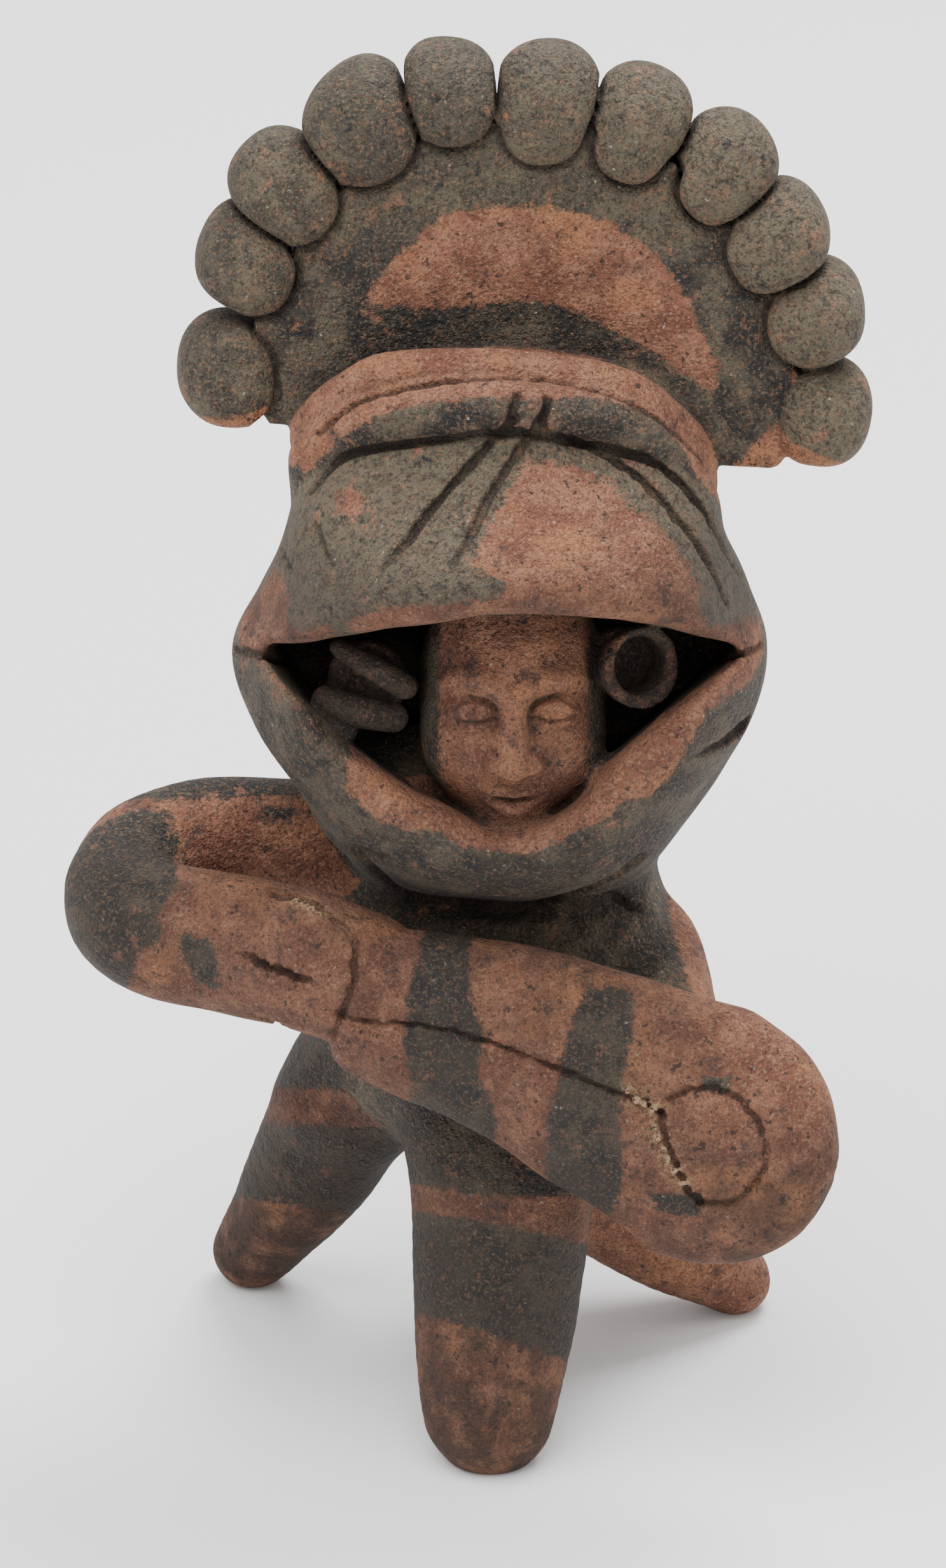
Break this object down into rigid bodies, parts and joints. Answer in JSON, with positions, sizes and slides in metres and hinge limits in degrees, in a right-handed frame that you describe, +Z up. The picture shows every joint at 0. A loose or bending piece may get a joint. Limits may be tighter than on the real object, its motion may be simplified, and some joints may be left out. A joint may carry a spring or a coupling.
{
  "type": "clay figure",
  "caption": "Hand-modelled standing clay figure in a bird's-head hood with a pellet-edged fan crest, holding a folded clay club across its body, on two legs and a tail.",
  "frame": {"origin": "centre of the bounding box at floor level", "axes": "+Z up, -Y towards the side the open beak faces, +X towards the free end of the club"},
  "size_m": [0.0968, 0.061, 0.1676],
  "materials": {
    "clay": "matt fired clay with dark slip bands"
  },
  "bodies": {
    "root": {"clay_figure": "clay"}
  },
  "joints": []
}
